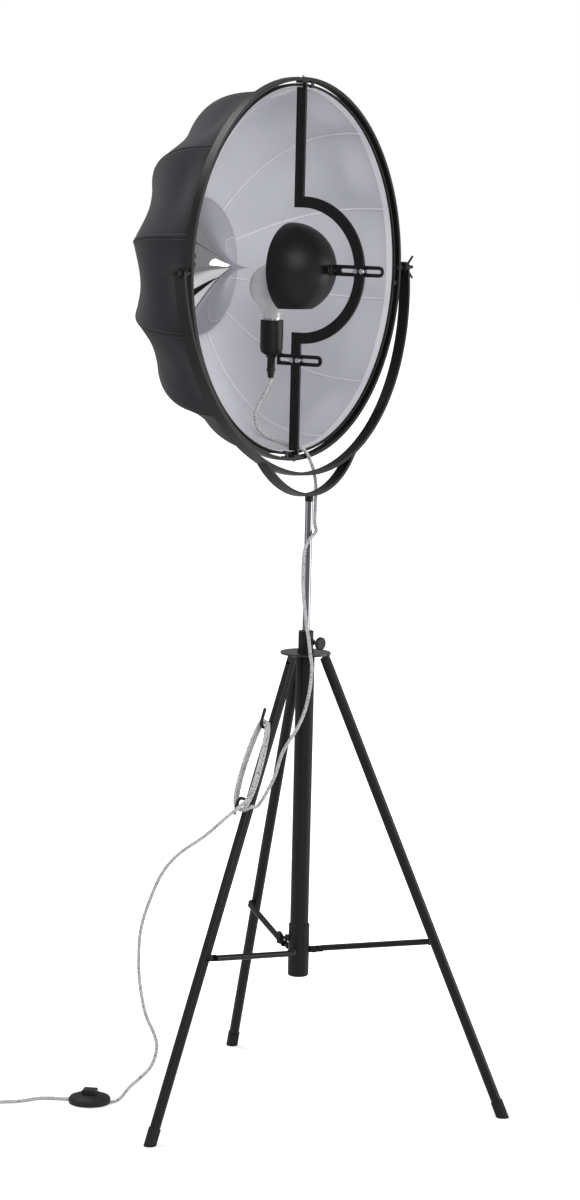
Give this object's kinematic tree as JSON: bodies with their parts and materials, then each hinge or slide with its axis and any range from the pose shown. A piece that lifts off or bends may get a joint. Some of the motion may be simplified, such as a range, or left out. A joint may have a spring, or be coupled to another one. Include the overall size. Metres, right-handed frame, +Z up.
{
  "type": "tripod floor spotlight",
  "caption": "Floor lamp on a folding tripod, with a ribbed fabric dish in a steel ring that tilts in a yoke on a sliding mast",
  "frame": {"origin": "point on the floor under the column", "axes": "+Z up along the column and mast, +Y from the dish's mouth to its back, so that the dish opens towards -Y, and X along the dish's pivots"},
  "size_m": [0.7585, 0.9812, 1.7811],
  "materials": {
    "black_metal": "satin",
    "dark_metal": "satin",
    "chrome": "polished",
    "steel": "satin",
    "black_plastic": "matte",
    "rubber": "matte",
    "black_cloth": "matte",
    "white_cloth": "matte",
    "mirror": "polished",
    "opal_glass": "matte",
    "ceramic": "glossy",
    "braid": "matte"
  },
  "bodies": {
    "stand": {"top_plate": "black_metal", "collar": "black_metal", "column_tube": "black_metal", "leg_hinge_pins": "steel", "cord_mast": "braid", "cord_leg": "braid", "cord_drop": "braid", "cord_floor": "braid", "cord_coil": "braid", "switch_base": "black_plastic", "switch_cover": "black_plastic", "plug_body": "black_plastic", "plug_pins": "steel"},
    "collar_knob_body": {"collar_knob": "black_plastic"},
    "mast_body": {"mast": "chrome", "cord_swivel": "braid"},
    "yoke_body": {"swivel_block": "black_metal", "yoke_bracket": "black_metal", "yoke": "black_metal", "cord_tilt": "braid"},
    "head": {"ring": "black_metal", "rim_wire": "black_metal", "rim_clips": "steel", "ribs": "steel", "back_boss": "black_metal", "mirror_cone": "mirror", "shade_cover": "black_cloth", "shade_lining": "white_cloth", "support_bar": "black_metal", "frame_screws": "steel", "pivot_bolts": "steel", "pivot_spacers": "black_metal", "cord_lamp": "braid"},
    "wing_nut_right_body": {"wing_nut_right": "dark_metal"},
    "wing_nut_left_body": {"wing_nut_left": "dark_metal"},
    "lamp_carrier": {"bulb_arm": "black_metal", "lamp_stem": "black_metal", "holder_shell": "black_metal", "holder_insert": "ceramic", "cord_grip": "black_plastic", "bulb_glass": "opal_glass", "bulb_cap": "steel"},
    "bowl_carrier": {"bowl_arm": "black_metal", "bowl": "black_metal", "bowl_stud": "steel"},
    "left_leg_body": {"leg_left": "black_metal", "foot_left": "rubber", "cord_hooks": "black_metal", "cord_wound": "braid"},
    "rear_leg_body": {"leg_rear": "black_metal", "foot_rear": "rubber"},
    "right_leg_body": {"leg_right": "black_metal", "foot_right": "rubber"},
    "hub_body": {"hub": "black_metal", "brace_pins": "steel"},
    "hub_knob_body": {"hub_knob": "black_plastic"},
    "left_brace_body": {"brace_left": "black_metal"},
    "rear_brace_body": {"brace_rear": "black_metal"},
    "right_brace_body": {"brace_right": "black_metal"},
    "button_body": {"switch_button": "black_plastic"}
  },
  "joints": [
    {"name": "mast_slide", "type": "slide", "parent": "stand", "child": "mast_body", "axis": [0, 0, 1], "range_m": [-0.19, 0.25], "deforming": ["cord_mast"]},
    {"name": "head_swivel", "type": "hinge", "parent": "mast_body", "child": "yoke_body", "pos_m": [0, 0, 1.06], "axis": [0, 0, 1], "range_deg": [-170, 170], "deforming": ["cord_swivel"]},
    {"name": "head_tilt", "type": "hinge", "parent": "yoke_body", "child": "head", "pos_m": [0, 0.03364, 1.45353], "axis": [1, 0, 0], "range_deg": [-60, 90], "deforming": ["cord_tilt"]},
    {"name": "bulb_arm_slide", "type": "slide", "parent": "head", "child": "lamp_carrier", "axis": [0, 1, 0], "range_m": [-0.02, 0.01], "deforming": ["cord_lamp"]},
    {"name": "bowl_arm_slide", "type": "slide", "parent": "head", "child": "bowl_carrier", "axis": [0, 1, 0], "range_m": [-0.025, 0.025]},
    {"name": "wing_nut_right_turn", "type": "hinge", "parent": "head", "child": "wing_nut_right_body", "pos_m": [0.356, 0.03364, 1.45353], "axis": [1, 0, 0], "range_deg": [0, 330]},
    {"name": "wing_nut_left_turn", "type": "hinge", "parent": "head", "child": "wing_nut_left_body", "pos_m": [-0.356, 0.03364, 1.45353], "axis": [-1, 0, 0], "range_deg": [0, 330]},
    {"name": "collar_knob_turn", "type": "hinge", "parent": "stand", "child": "collar_knob_body", "pos_m": [-0.00624, -0.02934, 0.8175], "axis": [-0.2079, -0.9781, 0], "range_deg": [0, 330]},
    {"name": "leg_left_fold", "type": "hinge", "parent": "stand", "child": "left_leg_body", "pos_m": [-0.03565, 0.00501, 0.786], "axis": [-0.1392, -0.9903, 0], "range_deg": [0, 16], "deforming": ["cord_leg", "cord_drop"]},
    {"name": "leg_rear_fold", "type": "hinge", "parent": "stand", "child": "rear_leg_body", "pos_m": [0.02216, 0.02837, 0.786], "axis": [-0.788, 0.6157, 0], "range_deg": [0, 16]},
    {"name": "leg_right_fold", "type": "hinge", "parent": "stand", "child": "right_leg_body", "pos_m": [0.01349, -0.03338, 0.786], "axis": [0.9272, 0.3746, 0], "range_deg": [0, 16]},
    {"name": "hub_slide", "type": "slide", "parent": "stand", "child": "hub_body", "axis": [0, 0, 1], "range_m": [0, 0.195]},
    {"name": "hub_knob_turn", "type": "hinge", "parent": "hub_body", "child": "hub_knob_body", "pos_m": [-0.015, 0.02598, 0.293], "axis": [-0.5, 0.866, 0], "range_deg": [0, 330]},
    {"name": "brace_left_turn", "type": "hinge", "parent": "hub_body", "child": "left_brace_body", "pos_m": [-0.02674, 0.00376, 0.273], "axis": [-0.1392, -0.9903, 0], "range_deg": [0, 78.5]},
    {"name": "brace_rear_turn", "type": "hinge", "parent": "hub_body", "child": "rear_brace_body", "pos_m": [0.01662, 0.02128, 0.273], "axis": [-0.788, 0.6157, 0], "range_deg": [0, 78.5]},
    {"name": "brace_right_turn", "type": "hinge", "parent": "hub_body", "child": "right_brace_body", "pos_m": [0.01011, -0.02503, 0.273], "axis": [0.9272, 0.3746, 0], "range_deg": [0, 78.5]},
    {"name": "switch_press", "type": "slide", "parent": "stand", "child": "button_body", "axis": [0, 0, -1], "range_m": [0, 0.003], "stiffness_N_per_m": 1000}
  ],
  "couplings": [
    {"joint": "leg_rear_fold", "follows": "leg_left_fold", "ratio": 1},
    {"joint": "leg_right_fold", "follows": "leg_left_fold", "ratio": 1},
    {"joint": "hub_slide", "follows": "leg_left_fold", "m_per_rad": 0.695},
    {"joint": "brace_left_turn", "follows": "leg_left_fold", "ratio": 4.87},
    {"joint": "brace_rear_turn", "follows": "leg_left_fold", "ratio": 4.87},
    {"joint": "brace_right_turn", "follows": "leg_left_fold", "ratio": 4.87}
  ]
}
